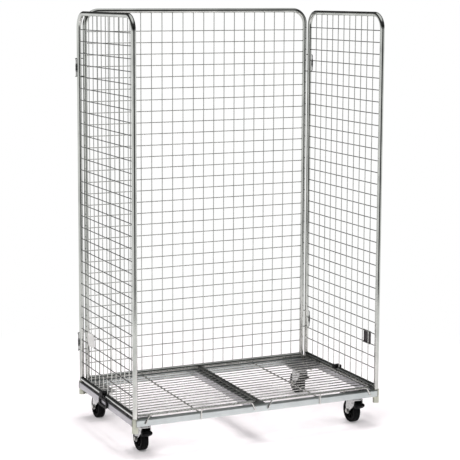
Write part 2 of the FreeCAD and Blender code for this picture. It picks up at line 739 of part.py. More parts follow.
def write_casters():
    bolts = []
    for corner, end in (("front", -1), ("rear", 1)):
        for name, side in (("left", -1), ("right", 1)):
            pin = V(side * kingpin_x, end * kingpin_y, plate_top_z)
            label = corner + "_" + name + "_caster_"
            write(label + "plate", [top_plate(pin)])
            write(label + "kingpin", [kingpin(pin)])
            write(label + "fork", [fork(pin)])
            write(label + "axle", [axle(pin)])
            write(label + "hub", [hub(pin)])
            write(label + "tyre", [tyre(pin)])
            write(label + "pedal", [pedal(pin)])
            bolts += [caster_bolt(pin + offset) for offset in bolt_places()]
    write("caster_bolts", bolts)


# ---------------------------------------------------------------- build
os.makedirs("parts", exist_ok=True)
write_base()
write_deck()
write_side_panel("left", -1, left_plate_y, left_plate_width)
write_side_panel("right", 1, right_plate_y, right_plate_width)
write_back_panel()
write_casters()
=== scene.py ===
"""Looks of the roll cage container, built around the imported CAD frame.  Metres, same axes."""
import bpy
import json
import math
import random
from mathutils import Euler, Matrix, Vector

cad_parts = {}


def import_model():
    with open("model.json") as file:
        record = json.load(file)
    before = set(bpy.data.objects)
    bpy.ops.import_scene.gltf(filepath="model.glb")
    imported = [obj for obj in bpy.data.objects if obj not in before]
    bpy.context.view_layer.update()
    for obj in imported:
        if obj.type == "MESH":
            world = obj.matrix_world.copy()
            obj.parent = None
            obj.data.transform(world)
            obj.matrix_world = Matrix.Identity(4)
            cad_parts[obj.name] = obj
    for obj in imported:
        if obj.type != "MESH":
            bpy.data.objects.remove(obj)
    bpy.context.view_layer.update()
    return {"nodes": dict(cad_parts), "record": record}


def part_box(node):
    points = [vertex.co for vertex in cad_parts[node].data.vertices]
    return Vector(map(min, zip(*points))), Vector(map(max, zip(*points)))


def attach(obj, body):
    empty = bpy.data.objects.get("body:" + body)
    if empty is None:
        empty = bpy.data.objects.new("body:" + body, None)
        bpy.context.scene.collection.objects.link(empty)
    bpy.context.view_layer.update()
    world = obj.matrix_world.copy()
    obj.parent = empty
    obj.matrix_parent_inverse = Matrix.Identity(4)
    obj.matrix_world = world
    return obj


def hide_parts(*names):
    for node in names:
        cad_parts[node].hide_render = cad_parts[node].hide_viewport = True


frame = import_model()
rng = random.Random(7)
MM = 0.001


# ---------------------------------------------------------------- mesh building
def seed_for(direction):
    """An axis that doesn't run along a unit direction."""
    return Vector((0, 0, 1)) if abs(direction.z) < 0.9 else Vector((1, 0, 0))


def square_to(direction, guide):
    """Unit vector square to a unit direction, as near to a guide as it can be."""
    return (guide - direction * guide.dot(direction)).normalized()


def ring(centre, side, up, radius, sides):
    """Circle of points in the plane of two unit vectors."""
    angles = [2 * math.pi * k / sides for k in range(sides)]
    return [centre + (side * math.cos(a) + up * math.sin(a)) * radius for a in angles]


class Skin:
    """Collects vertices and faces of one piece."""

    def __init__(self):
        self.verts = []
        self.faces = []

    def loft(self, loops, closed=False, caps=True):
        """Skin over loops of equal length."""
        base = len(self.verts)
        n = len(loops[0])
        for loop in loops:
            self.verts += [tuple(p) for p in loop]
        count = len(loops)
        for i in range(count if closed else count - 1):
            a = base + i * n
            b = base + ((i + 1) % count) * n
            for k in range(n):
                m = (k + 1) % n
                self.faces.append((a + k, a + m, b + m, b + k))
        if caps and not closed:
            self.faces.append(tuple(base + k for k in reversed(range(n))))
            self.faces.append(tuple(base + (count - 1) * n + k for k in range(n)))

    def tube(self, path, radii, sides=16, closed=False):
        """Round skin along a path; radii is one number or one per point."""
        pts = [Vector(p) for p in path]
        count = len(pts)
        if not hasattr(radii, "__len__"):
            radii = [radii] * count
        dirs = []
        for i in range(count):
            if closed:
                d = pts[(i + 1) % count] - pts[i - 1]
            else:
                d = pts[min(i + 1, count - 1)] - pts[max(i - 1, 0)]
            if d.length < 1e-9:
                d = dirs[-1] if dirs else Vector((0, 0, 1))
            dirs.append(d.normalized())
        side = square_to(dirs[0], seed_for(dirs[0]))
        loops = []
        for point, direction, radius in zip(pts, dirs, radii):
            side = square_to(direction, side)
            loops.append(ring(point, side, direction.cross(side), radius, sides))
        self.loft(loops, closed)

    def bar(self, start, end, radius, sides=12, chamfer=0.0006):
        """Straight round bar with softened ends."""
        a, b = Vector(start), Vector(end)
        step = (b - a).normalized() * chamfer
        sizes = [radius - chamfer, radius, radius, radius - chamfer]
        self.tube([a, a + step, b - step, b], sizes, sides)

    def pipe(self, path, radius, wall, depth, sides=28):
        """Bent tube, open at both ends to a depth."""
        pts = [Vector(p) for p in path]
        into = (pts[1] - pts[0]).normalized()
        back = (pts[-2] - pts[-1]).normalized()
        soft = 0.0005
        bore = radius - wall
        line = [pts[0] + into * depth, pts[0] + into * soft, pts[0], pts[0], pts[0] + into * soft]
        size = [bore, bore, bore + soft, radius - soft, radius]
        line += pts[1:-1]
        size += [radius] * (len(pts) - 2)
        line += [pts[-1] + back * soft, pts[-1], pts[-1], pts[-1] + back * soft, pts[-1] + back * depth]
        size += [radius, radius - soft, bore + soft, bore, bore]
        dirs = [into] * 5 + [None] * (len(pts) - 2) + [-back] * 5
        for i in range(1, len(pts) - 1):
            dirs[4 + i] = (pts[i + 1] - pts[i - 1]).normalized()
        side = square_to(into, seed_for(into))
        loops = []
        for point, r, d in zip(line, size, dirs):
            side = square_to(d, side)
            loops.append(ring(point, side, d.cross(side), r, sides))
        self.loft(loops)

    def blob(self, centre, axis, radius, height, sides=8):
        """Flattened drop of weld metal."""
        centre, axis = Vector(centre), Vector(axis).normalized()
        steps = (-1.0, -0.6, 0.0, 0.6, 1.0)
        path = [centre + axis * (height * s) for s in steps]
        sizes = [max(radius * math.sqrt(1 - s * s), radius * 0.15) for s in steps]
        side = axis.cross(seed_for(axis)).normalized()
        up = axis.cross(side)
        self.loft([ring(point, side, up, r, sides) for point, r in zip(path, sizes)])

    def lathe(self, centre, profile, sides=64):
        """Turned piece about X; profile is a closed outline of (x, radius) pairs."""
        centre = Vector(centre)
        loops = []
        for k in range(sides):
            a = 2 * math.pi * k / sides
            radial = Vector((0, math.cos(a), math.sin(a)))
            loops.append([centre + Vector((x, 0, 0)) + radial * r for x, r in profile])
        base = len(self.verts)
        n = len(profile)
        for loop in loops:
            self.verts += [tuple(p) for p in loop]
        for i in range(sides):
            a = base + i * n
            b = base + ((i + 1) % sides) * n
            for k in range(n):
                m = (k + 1) % n
                self.faces.append((a + k, b + k, b + m, a + m))

    def piece(self, name, body, material, slot=None, replaces=(), sharp=35):
        """Makes the object; sharp is the angle in degrees above which an edge isn't smoothed."""
        mesh = bpy.data.meshes.new(name)
        mesh.from_pydata(self.verts, [], self.faces)
        mesh.validate()
        mesh.shade_smooth()
        mesh.set_sharp_from_angle(angle=math.radians(sharp))
        obj = bpy.data.objects.new(name, mesh)
        bpy.context.scene.collection.objects.link(obj)
        mesh.materials.append(material)
        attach(obj, body)
        if replaces:
            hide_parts(*replaces)
        return obj


def arc_path(points, radii, steps=12, closed=False):
    """Runs through the points with rounded corners."""
    pts = [Vector(p) for p in points]
    count = len(pts)
    path = [] if closed else [pts[0]]
    for i in range(0 if closed else 1, count if closed else count - 1):
        corner = pts[i]
        radius = radii[i if closed else i - 1]
        back = (pts[i - 1] - corner).normalized()
        ahead = (pts[(i + 1) % count] - corner).normalized()
        half = back.angle(ahead) / 2
        setback = radius / math.tan(half)
        bisector = (back + ahead).normalized()
        centre = corner + bisector * (radius / math.sin(half))
        start = corner + back * setback - centre
        turn = math.pi - 2 * half
        normal = start.cross(corner + ahead * setback - centre).normalized()
        for k in range(steps + 1):
            path.append(centre + Matrix.Rotation(turn * k / steps, 3, normal) @ start)
    if not closed:
        path.append(pts[-1])
    return path


def islands(node):
    """Boxes of the separate bars of a CAD node."""
    mesh = frame["nodes"][node].data
    keys = {}
    parent = []
    ids = []
    for v in mesh.vertices:
        key = (round(v.co.x, 5), round(v.co.y, 5), round(v.co.z, 5))
        if key not in keys:
            keys[key] = len(parent)
            parent.append(keys[key])
        ids.append(keys[key])

    def find(a):
        while parent[a] != a:
            parent[a] = parent[parent[a]]
            a = parent[a]
        return a

    for e in mesh.edges:
        a, b = find(ids[e.vertices[0]]), find(ids[e.vertices[1]])
        if a != b:
            parent[a] = b
    found = {}
    for v in mesh.vertices:
        found.setdefault(find(ids[v.index]), []).append(v.co)
    boxes = []
    for group in found.values():
        low = Vector([min(p[k] for p in group) for k in range(3)])
        high = Vector([max(p[k] for p in group) for k in range(3)])
        boxes.append((low, high))
    return boxes


def straight_bars(node):
    """(start, end, radius, axis) of each straight bar of a node."""
    bars = []
    for low, high in islands(node):
        size = high - low
        axis = max(range(3), key=lambda k: size[k])
        radius = max(size[k] for k in range(3) if k != axis) / 2
        start, end = (low + high) / 2, (low + high) / 2
        start[axis], end[axis] = low[axis], high[axis]
        bars.append((start, end, radius, axis))
    return bars


# ---------------------------------------------------------------- materials
def new_material(name):
    m = bpy.data.materials.new(name)
    m.use_nodes = True
    nt = m.node_tree
    shader = nt.nodes["Principled BSDF"]
    return m, nt, shader


def noise(nt, coords, scale, detail=4.0, rough=0.55):
    n = nt.nodes.new("ShaderNodeTexNoise")
    n.inputs["Scale"].default_value = scale
    n.inputs["Detail"].default_value = detail
    n.inputs["Roughness"].default_value = rough
    nt.links.new(coords, n.inputs["Vector"])
    return n.outputs["Fac"]


def ramp(nt, fac, stops):
    r = nt.nodes.new("ShaderNodeValToRGB")
    while len(r.color_ramp.elements) < len(stops):
        r.color_ramp.elements.new(0.5)
    for el, (pos, col) in zip(r.color_ramp.elements, stops):
        el.position = pos
        el.color = (*col, 1)
    nt.links.new(fac, r.inputs["Fac"])
    return r.outputs["Color"]


def span(nt, fac, low, high, frm=(0.3, 0.7)):
    r = nt.nodes.new("ShaderNodeMapRange")
    r.inputs["From Min"].default_value = frm[0]
    r.inputs["From Max"].default_value = frm[1]
    r.inputs["To Min"].default_value = low
    r.inputs["To Max"].default_value = high
    nt.links.new(fac, r.inputs["Value"])
    return r.outputs["Result"]


def math_node(nt, op, a, b):
    n = nt.nodes.new("ShaderNodeMath")
    n.operation = op
    for socket, value in zip(n.inputs, (a, b)):
        if hasattr(value, "is_output"):
            nt.links.new(value, socket)
        else:
            socket.default_value = value
    return n.outputs[0]


def blend_of(nt, a, share_a, b, share_b):
    """Sum of two values, each times its share."""
    return math_node(nt, "ADD", math_node(nt, "MULTIPLY", a, share_a), math_node(nt, "MULTIPLY", b, share_b))


def bump(nt, shader, height, strength, distance, round_edges=0.0):
    b = nt.nodes.new("ShaderNodeBump")
    b.inputs["Strength"].default_value = strength
    b.inputs["Distance"].default_value = distance
    nt.links.new(height, b.inputs["Height"])
    if round_edges:
        e = nt.nodes.new("ShaderNodeBevel")
        e.samples = 4
        e.inputs["Radius"].default_value = round_edges
        nt.links.new(e.outputs["Normal"], b.inputs["Normal"])
    nt.links.new(b.outputs["Normal"], shader.inputs["Normal"])


def position(nt, scale=(1, 1, 1)):
    t = nt.nodes.new("ShaderNodeTexCoord")
    m = nt.nodes.new("ShaderNodeMapping")
    m.inputs["Scale"].default_value = scale
    nt.links.new(t.outputs["Object"], m.inputs["Vector"])
    return m.outputs["Vector"]


def zinc(name, dark, light, rough, grain=(1, 1, 1), edges=0.0, blotch=9.0, relief=0.12):
    """Zinc plate: cloudy brightness, fine drawn lines, dull patches."""
    m, nt, shader = new_material(name)
    shader.inputs["Metallic"].default_value = 1.0
    wide = position(nt)
    fine = position(nt, grain)
    cloud = noise(nt, wide, blotch, 6.0, 0.6)
    lines = noise(nt, fine, 420.0, 3.0)
    mixed = blend_of(nt, cloud, 0.72, lines, 0.28)
    mid = tuple((a + b) / 2 for a, b in zip(dark, light))
    colour = ramp(nt, mixed, [(0.34, dark), (0.50, mid), (0.66, light)])
    nt.links.new(colour, shader.inputs["Base Color"])
    speck = noise(nt, wide, 95.0, 5.0, 0.7)
    blend = blend_of(nt, cloud, 0.5, speck, 0.5)
    nt.links.new(span(nt, blend, rough[0], rough[1], (0.36, 0.64)), shader.inputs["Roughness"])
    bump(nt, shader, math_node(nt, "ADD", lines, speck), relief, 0.0002, edges)
    return m


def plastic(name, dark, light, rough, grain=1500.0, edges=0.0, dust=0.0):
    """Moulded plastic or rubber with grain, and dust that settles on upward faces."""
    m, nt, shader = new_material(name)
    shader.inputs["Specular IOR Level"].default_value = 0.06
    where = position(nt)
    cloud = noise(nt, where, 22.0, 5.0)
    speck = noise(nt, where, 260.0, 4.0, 0.7)
    colour = ramp(nt, cloud, [(0.35, dark), (0.65, light)])
    if dust:
        geo = nt.nodes.new("ShaderNodeNewGeometry")
        parts = nt.nodes.new("ShaderNodeSeparateXYZ")
        nt.links.new(geo.outputs["Normal"], parts.inputs["Vector"])
        up = span(nt, parts.outputs["Z"], 0.0, dust, (0.35, 1.0))
        amount = math_node(nt, "MULTIPLY", up, span(nt, speck, 0.3, 1.0, (0.4, 0.6)))
        mix = nt.nodes.new("ShaderNodeMix")
        mix.data_type = "RGBA"
        mix.inputs["B"].default_value = (0.32, 0.30, 0.27, 1)
        nt.links.new(amount, mix.inputs["Factor"])
        nt.links.new(colour, mix.inputs["A"])
        colour = mix.outputs["Result"]
    nt.links.new(colour, shader.inputs["Base Color"])
    nt.links.new(span(nt, speck, rough[0], rough[1], (0.35, 0.65)), shader.inputs["Roughness"])
    bump(nt, shader, noise(nt, where, grain, 2.0), 0.25, 0.0002, edges)
    return m


# Drawn lines run along the axis whose scale is small.
ALONG_X, ALONG_Y, ALONG_Z, LEVEL = (0.05, 1, 1), (1, 0.05, 1), (1, 1, 0.05), (0.05, 0.05, 1)
EVEN, SOCKET_GRAIN = (1, 1, 1), (1, 1, 0.1)
tube_zinc = zinc("tube_zinc", (0.42, 0.43, 0.41), (0.64, 0.65, 0.62), (0.07, 0.16), ALONG_Z)
level_tube_zinc = zinc("level_tube_zinc", (0.38, 0.39, 0.38), (0.58, 0.59, 0.57), (0.10, 0.22), LEVEL)
wire_zinc = zinc("wire_zinc", (0.44, 0.45, 0.43), (0.66, 0.67, 0.64), (0.14, 0.28))
# Level wires of the side panels: the wire zinc darkened, a painted dark reflection of what lies above them.
painted_reflection_wire_zinc = zinc("painted_reflection_wire_zinc", (0.15, 0.15, 0.15), (0.30, 0.30, 0.29), (0.14, 0.28))
deck_zinc = zinc("deck_zinc", (0.46, 0.46, 0.44), (0.68, 0.68, 0.65), (0.18, 0.34))
clasp_zinc = zinc("clasp_zinc", (0.12, 0.12, 0.12), (0.24, 0.24, 0.23), (0.20, 0.36))
rail_zinc = zinc("rail_zinc", (0.44, 0.48, 0.48), (0.62, 0.67, 0.66), (0.28, 0.42), ALONG_X, 0, 7.0)
# Side rails: the rail zinc made darker, painted shade for the faces that turn away from the light.
painted_shade_rail_zinc = zinc("painted_shade_rail_zinc", (0.34, 0.34, 0.36), (0.50, 0.50, 0.52), (0.28, 0.42), ALONG_Y,
                      0.0025, 7.0)
socket_zinc = zinc("socket_zinc", (0.40, 0.42, 0.35), (0.60, 0.62, 0.53), (0.32, 0.46), SOCKET_GRAIN, 0, 30.0)
caster_zinc = zinc("caster_zinc", (0.36, 0.37, 0.37), (0.58, 0.59, 0.58), (0.20, 0.34), EVEN, 0.0008, 34.0)
bolt_zinc = zinc("bolt_zinc", (0.32, 0.32, 0.30), (0.52, 0.52, 0.49), (0.24, 0.40), EVEN, 0.0005, 60.0)
weld_zinc = zinc("weld_zinc", (0.22, 0.22, 0.21), (0.42, 0.42, 0.40), (0.34, 0.58), EVEN, 0, 160.0, 0.5)
black_plastic = plastic("black_plastic", (0.0022, 0.0022, 0.0025), (0.006, 0.006, 0.0065), (0.34, 0.50),
                        1500.0, 0.0010, 0.015)
wheel_plastic = plastic("wheel_plastic", (0.003, 0.003, 0.0033), (0.007, 0.007, 0.0076), (0.38, 0.55),
                        1300.0, 0.0, 0.012)
tread_rubber = plastic("tread_rubber", (0.002, 0.002, 0.0023), (0.005, 0.005, 0.0055), (0.45, 0.70),
                       900.0, 0.0, 0.012)


def plate_paint_and_painted_shade():
    """Pale paint on the face that looks out of the cage; the back face is painted shade, a near-black colour
    tinted red as a painted reflection.
    """
    m, nt, shader = new_material("plate_paint_and_painted_shade")
    where = position(nt)
    cloud = noise(nt, where, 30.0, 5.0)
    pale = ramp(nt, cloud, [(0.35, (0.62, 0.62, 0.60)), (0.65, (0.74, 0.74, 0.72))])
    # Painted shade for the back face, tinted red as a painted reflection.
    dark = ramp(nt, cloud, [(0.35, (0.010, 0.006, 0.008)), (0.65, (0.022, 0.014, 0.018))])
    place = nt.nodes.new("ShaderNodeSeparateXYZ")
    nt.links.new(where, place.inputs["Vector"])
    geo = nt.nodes.new("ShaderNodeNewGeometry")
    facing = nt.nodes.new("ShaderNodeSeparateXYZ")
    nt.links.new(geo.outputs["Normal"], facing.inputs["Vector"])
    # Faces that look out of the cage get the pale paint, the others the painted shade.
    outward = math_node(nt, "MULTIPLY", place.outputs["X"], facing.outputs["X"])
    mix = nt.nodes.new("ShaderNodeMix")
    mix.data_type = "RGBA"
    nt.links.new(span(nt, outward, 0.0, 1.0, (-0.05, 0.05)), mix.inputs["Factor"])
    nt.links.new(dark, mix.inputs["A"])
    nt.links.new(pale, mix.inputs["B"])
    nt.links.new(mix.outputs["Result"], shader.inputs["Base Color"])
    nt.links.new(span(nt, noise(nt, where, 180.0), 0.32, 0.5), shader.inputs["Roughness"])
    bump(nt, shader, noise(nt, where, 700.0, 2.0), 0.2, 0.0002, 0.0006)
    return m


bare_plate = plate_paint_and_painted_shade()


# ---------------------------------------------------------------- panels
def panel_sizes(node, across):
    """Plane, half span, tube radius, top and foot heights of a panel frame."""
    low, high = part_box(node)
    along = 1 - across
    radius = (high[across] - low[across]) / 2
    plane = (low[across] + high[across]) / 2
    return plane, high[along] - radius, radius, high.z - radius, low.z


BEND = 62 * MM
TUBE_WALL = 1.5 * MM
TUBE_BORE_DEPTH = 40 * MM
CLASP_WIRE = 4 * MM
# Drops of weld metal: radius and half height.
WIRE_END_SWELL, WIRE_END_HEIGHT = 1.35, 1.2 * MM
WIRE_END_GAP = 0.4 * MM
CROSSING_DROP = (1.7 * MM, 0.9 * MM)
CLASP_DROP = (3.8 * MM, 1.8 * MM)


def spot(across, plane, along, z):
    return Vector((plane, along, z)) if across == 0 else Vector((along, plane, z))


def weld_saddle(skin, across, plane, post, r, z, sign):
    """Bead where a level tube meets a post of the same size."""
    path = []
    steps, stand_off = 48, 0.4 * MM
    for k in range(steps):
        a = 2 * math.pi * k / steps
        reach = post - sign * (r * abs(math.sin(a)) + stand_off)
        off = r * math.cos(a)
        path.append(spot(across, plane + off, reach, z + r * math.sin(a)))
    thin, uneven = 1.1 * MM, 0.3 * MM
    skin.tube(path, [thin + uneven * rng.random() for _ in path], 6, closed=True)


def build_panel(panel, across):
    """Frame, bottom tube, wires and welds of a panel; across is the axis square to it."""
    plane, half_span, r, top_z, foot_z = panel_sizes(panel + "_frame", across)
    corners = [(-half_span, foot_z), (-half_span, top_z), (half_span, top_z), (half_span, foot_z)]
    skin = Skin()
    path = arc_path([spot(across, plane, a, z) for a, z in corners], [BEND] * 2, 18)
    skin.pipe(path, r, TUBE_WALL, TUBE_BORE_DEPTH)
    skin.piece(panel + "_frame_skin", panel, tube_zinc, "zinc_tube", [panel + "_frame"])
    low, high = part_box(panel + "_bottom_tube")
    rail_z = (low.z + high.z) / 2
    skin = Skin()
    reach = half_span - r * 0.4
    skin.tube([spot(across, plane, -reach, rail_z), spot(across, plane, reach, rail_z)], r, 28)
    skin.piece(panel + "_bottom_tube_skin", panel, level_tube_zinc, "zinc_tube", [panel + "_bottom_tube"])
    welds = Skin()
    for sign in (-1, 1):
        weld_saddle(welds, across, plane, sign * half_span, r, rail_z, sign)
    upright_skin, level_skin = Skin(), Skin()
    uprights, levels = [], []
    for start, end, radius, axis in straight_bars(panel + "_mesh"):
        (upright_skin if axis == 2 else level_skin).bar(start, end, radius, 12)
        (uprights if axis == 2 else levels).append((start, end))
        for tip, other in ((start, end), (end, start)):
            out = (tip - other).normalized()
            welds.blob(tip + out * WIRE_END_GAP, out, radius * WIRE_END_SWELL, WIRE_END_HEIGHT, 8)
    normal = Vector((1, 0, 0)) if across == 0 else Vector((0, 1, 0))
    for foot, head in uprights:
        for level, _ in levels:
            if foot.z < level.z < head.z:
                at = Vector((foot.x, foot.y, level.z))
                at[across] = (foot[across] + level[across]) / 2
                welds.blob(at, normal, *CROSSING_DROP, 6)
    upright_skin.piece(panel + "_upright_wires", panel, wire_zinc, "zinc_wire", [panel + "_mesh"])
    # The side panels' level wires take the darkened zinc, a painted dark reflection.
    level_wire = painted_reflection_wire_zinc if across == 0 else wire_zinc
    level_skin.piece(panel + "_level_wires", panel, level_wire, "zinc_wire")
    welds.piece(panel + "_welds", panel, weld_zinc, "zinc_wire")


build_panel("left_panel", 0)
build_panel("right_panel", 0)
build_panel("back_panel", 1)


def clasps():
    """Bent wire clasps on the back panel's posts, with black grips on their closed ends."""
    back_low, back_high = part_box("back_panel_frame")
    side_low, side_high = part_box("right_panel_frame")
    post_x = back_high.x - (back_high.y - back_low.y) / 2
    side_x = (side_low.x + side_high.x) / 2
    r = CLASP_WIRE / 2
    rear_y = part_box("back_panel_clasps")[1].y - r
    start_y = back_high.y
    end_bend, corner_bend = 6 * MM, 8 * MM
    shortest_closed_end = 45 * MM
    wires, grips = Skin(), Skin()
    for low, high in islands("back_panel_clasps"):
        if high.z - low.z < shortest_closed_end:
            continue
        side = 1 if low.x > 0 else -1
        outer_x = side * (low.x + high.x) / 2
        front_y = (low.y + high.y) / 2
        upper, lower = high.z + corner_bend, low.z - corner_bend
        plan = [(post_x, start_y), (post_x, rear_y), (outer_x, rear_y), (outer_x, front_y)]
        points = [(side * x, y, upper) for x, y in plan] + [(side * x, y, lower) for x, y in plan[::-1]]
        radii = [end_bend, outer_x - side_x, corner_bend]
        wires.tube(arc_path(points, radii + radii[::-1], 10), r, 14)
        for z in (upper, lower):
            wires.blob((side * post_x, start_y + 0.5 * MM, z), (0, 1, 0), *CLASP_DROP, 12)
        middle = (upper + lower) / 2
        grip(grips, side * outer_x, front_y, middle)
    wires.piece("back_panel_clasps_skin", "back_panel", clasp_zinc, "zinc_wire", ["back_panel_clasps"])
    grips.piece("back_panel_clasp_grips", "back_panel", black_plastic, "black_plastic")


def grip(skin, x, y, middle):
    """Moulded sleeve with rounded ends and three finger grooves."""
    half, radius, steps = 19 * MM, 3.5 * MM, 32
    path, sizes = [], []
    for k in range(steps + 1):
        t = 2 * k / steps - 1
        path.append((x, y, middle + half * t))
        groove = 0.4 * MM * (0.5 - 0.5 * math.cos(3 * math.pi * (t + 1)))
        sizes.append(max(radius * (1 - abs(t) ** 6) ** 0.5 - groove, CLASP_WIRE / 2 + 0.3 * MM))
    skin.tube(path, sizes, 18)


clasps()


# ---------------------------------------------------------------- deck
BORDER_BEND = 20 * MM
LIP_FOOT_Z = 142 * MM
LIP_HALF = 227.5 * MM
LIP_FLARE = 18 * MM
LIP_BEND = 12 * MM
FOOT_WELD_Z = LIP_FOOT_Z + 6 * MM
PROP_WELDS_Z = (150 * MM, 138 * MM)
# Drops of weld metal: radius and half height.
GRID_DROP = (2.6 * MM, 1.1 * MM)
CROSS_END_DROP = (4.2 * MM, 1.5 * MM)
LIP_DROP = (4.0 * MM, 1.2 * MM)


def deck(name):
    """Border rod, wires, lip and welds of one half of the deck."""
    low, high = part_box(name + "_deck_border")
    r = (high.z - low.z) / 2
    z = (high.z + low.z) / 2
    near_x, far_x, near_y, far_y = low.x + r, high.x - r, low.y + r, high.y - r
    corners = [(near_x, near_y, z), (far_x, near_y, z), (far_x, far_y, z), (near_x, far_y, z)]
    skin = Skin()
    skin.tube(arc_path(corners, [BORDER_BEND] * 4, 10, closed=True), r, 16, closed=True)
    skin.piece(name + "_deck_border_skin", "base", deck_zinc, "zinc_tube", [name + "_deck_border"])
    skin = Skin()
    welds = Skin()
    wires, cross = [], []
    for start, end, radius, axis in straight_bars(name + "_deck_grid"):
        skin.bar(start, end, radius, 14)
        (wires if axis == 0 else cross).append((start, end, radius))
    for start, _, radius in wires:
        for x in (near_x, far_x):
            welds.blob((x, start.y, start.z + radius), (0, 0, 1), *GRID_DROP, 8)
        for foot, _, _ in cross:
            welds.blob((foot.x, start.y, start.z - radius), (0, 0, 1), *GRID_DROP, 8)
    for start, end, _ in cross:
        for tip in (start, end):
            out = Vector((0, 1 if tip.y > 0 else -1, 0))
            welds.blob(tip, out, *CROSS_END_DROP, 10)
    skin.piece(name + "_deck_grid_skin", "base", deck_zinc, "zinc_wire", [name + "_deck_grid"])
    low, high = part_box(name + "_deck_lip")
    r = (high.y - low.y) / 2
    y = (high.y + low.y) / 2
    middle = (low.x + high.x) / 2
    top_z = high.z - r
    foot_reach = LIP_HALF + LIP_FLARE
    points = [(middle - foot_reach, y, LIP_FOOT_Z), (middle - LIP_HALF, y, top_z),
              (middle + LIP_HALF, y, top_z), (middle + foot_reach, y, LIP_FOOT_Z)]
    skin = Skin()
    path = arc_path(points, [LIP_BEND] * 2, 8)
    skin.tube(path, [r] * len(path), 14)
    skin.bar((middle, y, low.z), (middle, y, top_z - r * 0.6), r, 14)
    skin.piece(name + "_deck_lip_skin", "base", deck_zinc, "zinc_wire", [name + "_deck_lip"])
    welds.blob((middle, y, top_z - r), (0, 0, 1), r * 0.98, 1.6 * MM, 10)
    weld_reach = LIP_HALF + LIP_FLARE * 0.8
    spots = [(middle - weld_reach, FOOT_WELD_Z), (middle + weld_reach, FOOT_WELD_Z)]
    for x, z in spots + [(middle, z) for z in PROP_WELDS_Z]:
        welds.blob((x, y + r, z), (0, 1, 0), *LIP_DROP, 10)
    welds.piece(name + "_deck_welds", "base", weld_zinc, "zinc_wire")


deck("left")
deck("right")


# ---------------------------------------------------------------- base frame
SOCKET_R = 13 * MM
SOCKET_WALL = 2.6 * MM
RAIL_ROUND = 3 * MM
BEAD_LIFT = 0.2 * MM


def rail_outline(half_a, half_b, radius, steps=4, parts=8):
    """Rounded rectangle as (a, b) pairs, with extra points on its four flats."""
    corners = []
    for sa, sb, turn in ((1, 1, 0), (-1, 1, 1), (-1, -1, 2), (1, -1, 3)):
        for k in range(steps + 1):
            angle = math.pi / 2 * (turn + k / steps)
            corners.append((sa * (half_a - radius) + radius * math.cos(angle),
                            sb * (half_b - radius) + radius * math.sin(angle)))
    loop = []
    for k, (a, b) in enumerate(corners):
        loop.append((a, b))
        if k % (steps + 1) == steps:
            next_a, next_b = corners[(k + 1) % len(corners)]
            for j in range(1, parts):
                loop.append((a + (next_a - a) * j / parts, b + (next_b - b) * j / parts))
    return loop


def cope(offset):
    """How far short of a socket's axis a rail's wall meets the socket."""
    return math.sqrt(max(SOCKET_R * SOCKET_R - offset * offset, 0.0))


def rail_end(socket_at, sign, inner, clear):
    """Where a wall ends, coped round the socket and held clear by what stands inside of it."""
    return sign * (socket_at - max(cope(inner), clear(inner)))


def mitred(inner):
    """Cut at 45 degrees on the side that faces into the cage."""
    return max(inner, 0.0)


def set_back(inner):
    """Inner wall cut a little short."""
    return 4 * MM if inner > 10 * MM else 0.0


def butted(_):
    """Coped and no more."""
    return 0.0


def coped_rail(node, axis, low_end, high_end, material, welds):
    """Rectangular tube with rounded corners, coped round the sockets at its ends."""
    low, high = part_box(node)
    centre = (low + high) / 2
    other = 1 - axis
    inward = -1 if centre[other] > 0 else 1

    def end_loop(sign, end, lift):
        socket_at, clear = end
        half_wide, half_tall = (high[other] - low[other]) / 2 + lift, (high.z - low.z) / 2 + lift
        loop = []
        for a, b in rail_outline(half_wide, half_tall, RAIL_ROUND):
            point = Vector((0, 0, 0))
            point[axis] = rail_end(socket_at, sign, inward * a, clear)
            point[other] = centre[other] + a
            point.z = centre.z + b
            loop.append(point)
        return loop

    skin = Skin()
    skin.loft([end_loop(-1, low_end, 0.0), end_loop(1, high_end, 0.0)], caps=False)
    skin.piece(node + "_skin", "base", material, "zinc_rail", [node], 50)
    bead(welds, end_loop(-1, low_end, BEAD_LIFT))
    bead(welds, end_loop(1, high_end, BEAD_LIFT))


def bead(skin, path):
    """Weld bead of uneven thickness along a closed path."""
    spacing, thin, uneven = 3 * MM, 1.0 * MM, 0.6 * MM
    full = []
    for k, point in enumerate(path):
        after = path[(k + 1) % len(path)]
        parts = max(1, int((after - point).length / spacing))
        full += [point.lerp(after, j / parts) for j in range(parts)]
    skin.tube(full, [thin + uneven * rng.random() for _ in full], 6, closed=True)


def base_rails():
    side_low, side_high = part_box("right_panel_frame")
    back_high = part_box("back_panel_frame")[1]
    tube_r = (side_high.x - side_low.x) / 2
    side_x = (side_low.x + side_high.x) / 2
    post_y = side_high.y - tube_r
    back_x = back_high.x - tube_r
    welds = Skin()
    coped_rail("front_rail", 0, (side_x, mitred), (side_x, mitred), rail_zinc, welds)
    coped_rail("rear_rail", 0, (back_x, butted), (back_x, butted), rail_zinc, welds)
    for node in ("left_rail", "right_rail"):
        coped_rail(node, 1, (post_y, mitred), (post_y, set_back), painted_shade_rail_zinc, welds)
    low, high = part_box("centre_beam")
    middle = (low + high) / 2
    for y in (low.y, high.y):
        outline = rail_outline((high.x - low.x) / 2, (high.z - low.z) / 2, RAIL_ROUND)
        bead(welds, [Vector((middle.x + a, y, middle.z + b)) for a, b in outline])
    welds.piece("base_welds", "base", weld_zinc, "zinc_rail")


base_rails()


def socket_skins():
    for node in ("front_left_socket", "front_right_socket", "rear_left_socket", "rear_right_socket",
                 "back_panel_sockets"):
        skin = Skin()
        for low, high in islands(node):
            centre = (low + high) / 2
            r = (high.x - low.x) / 2
            ends = [Vector((centre.x, centre.y, low.z)), Vector((centre.x, centre.y, high.z))]
            skin.pipe(ends, r, SOCKET_WALL, (high.z - low.z) / 2 - 0.2 * MM, 36)
        skin.piece(node + "_skin", "base", socket_zinc, "zinc_socket", [node])


socket_skins()


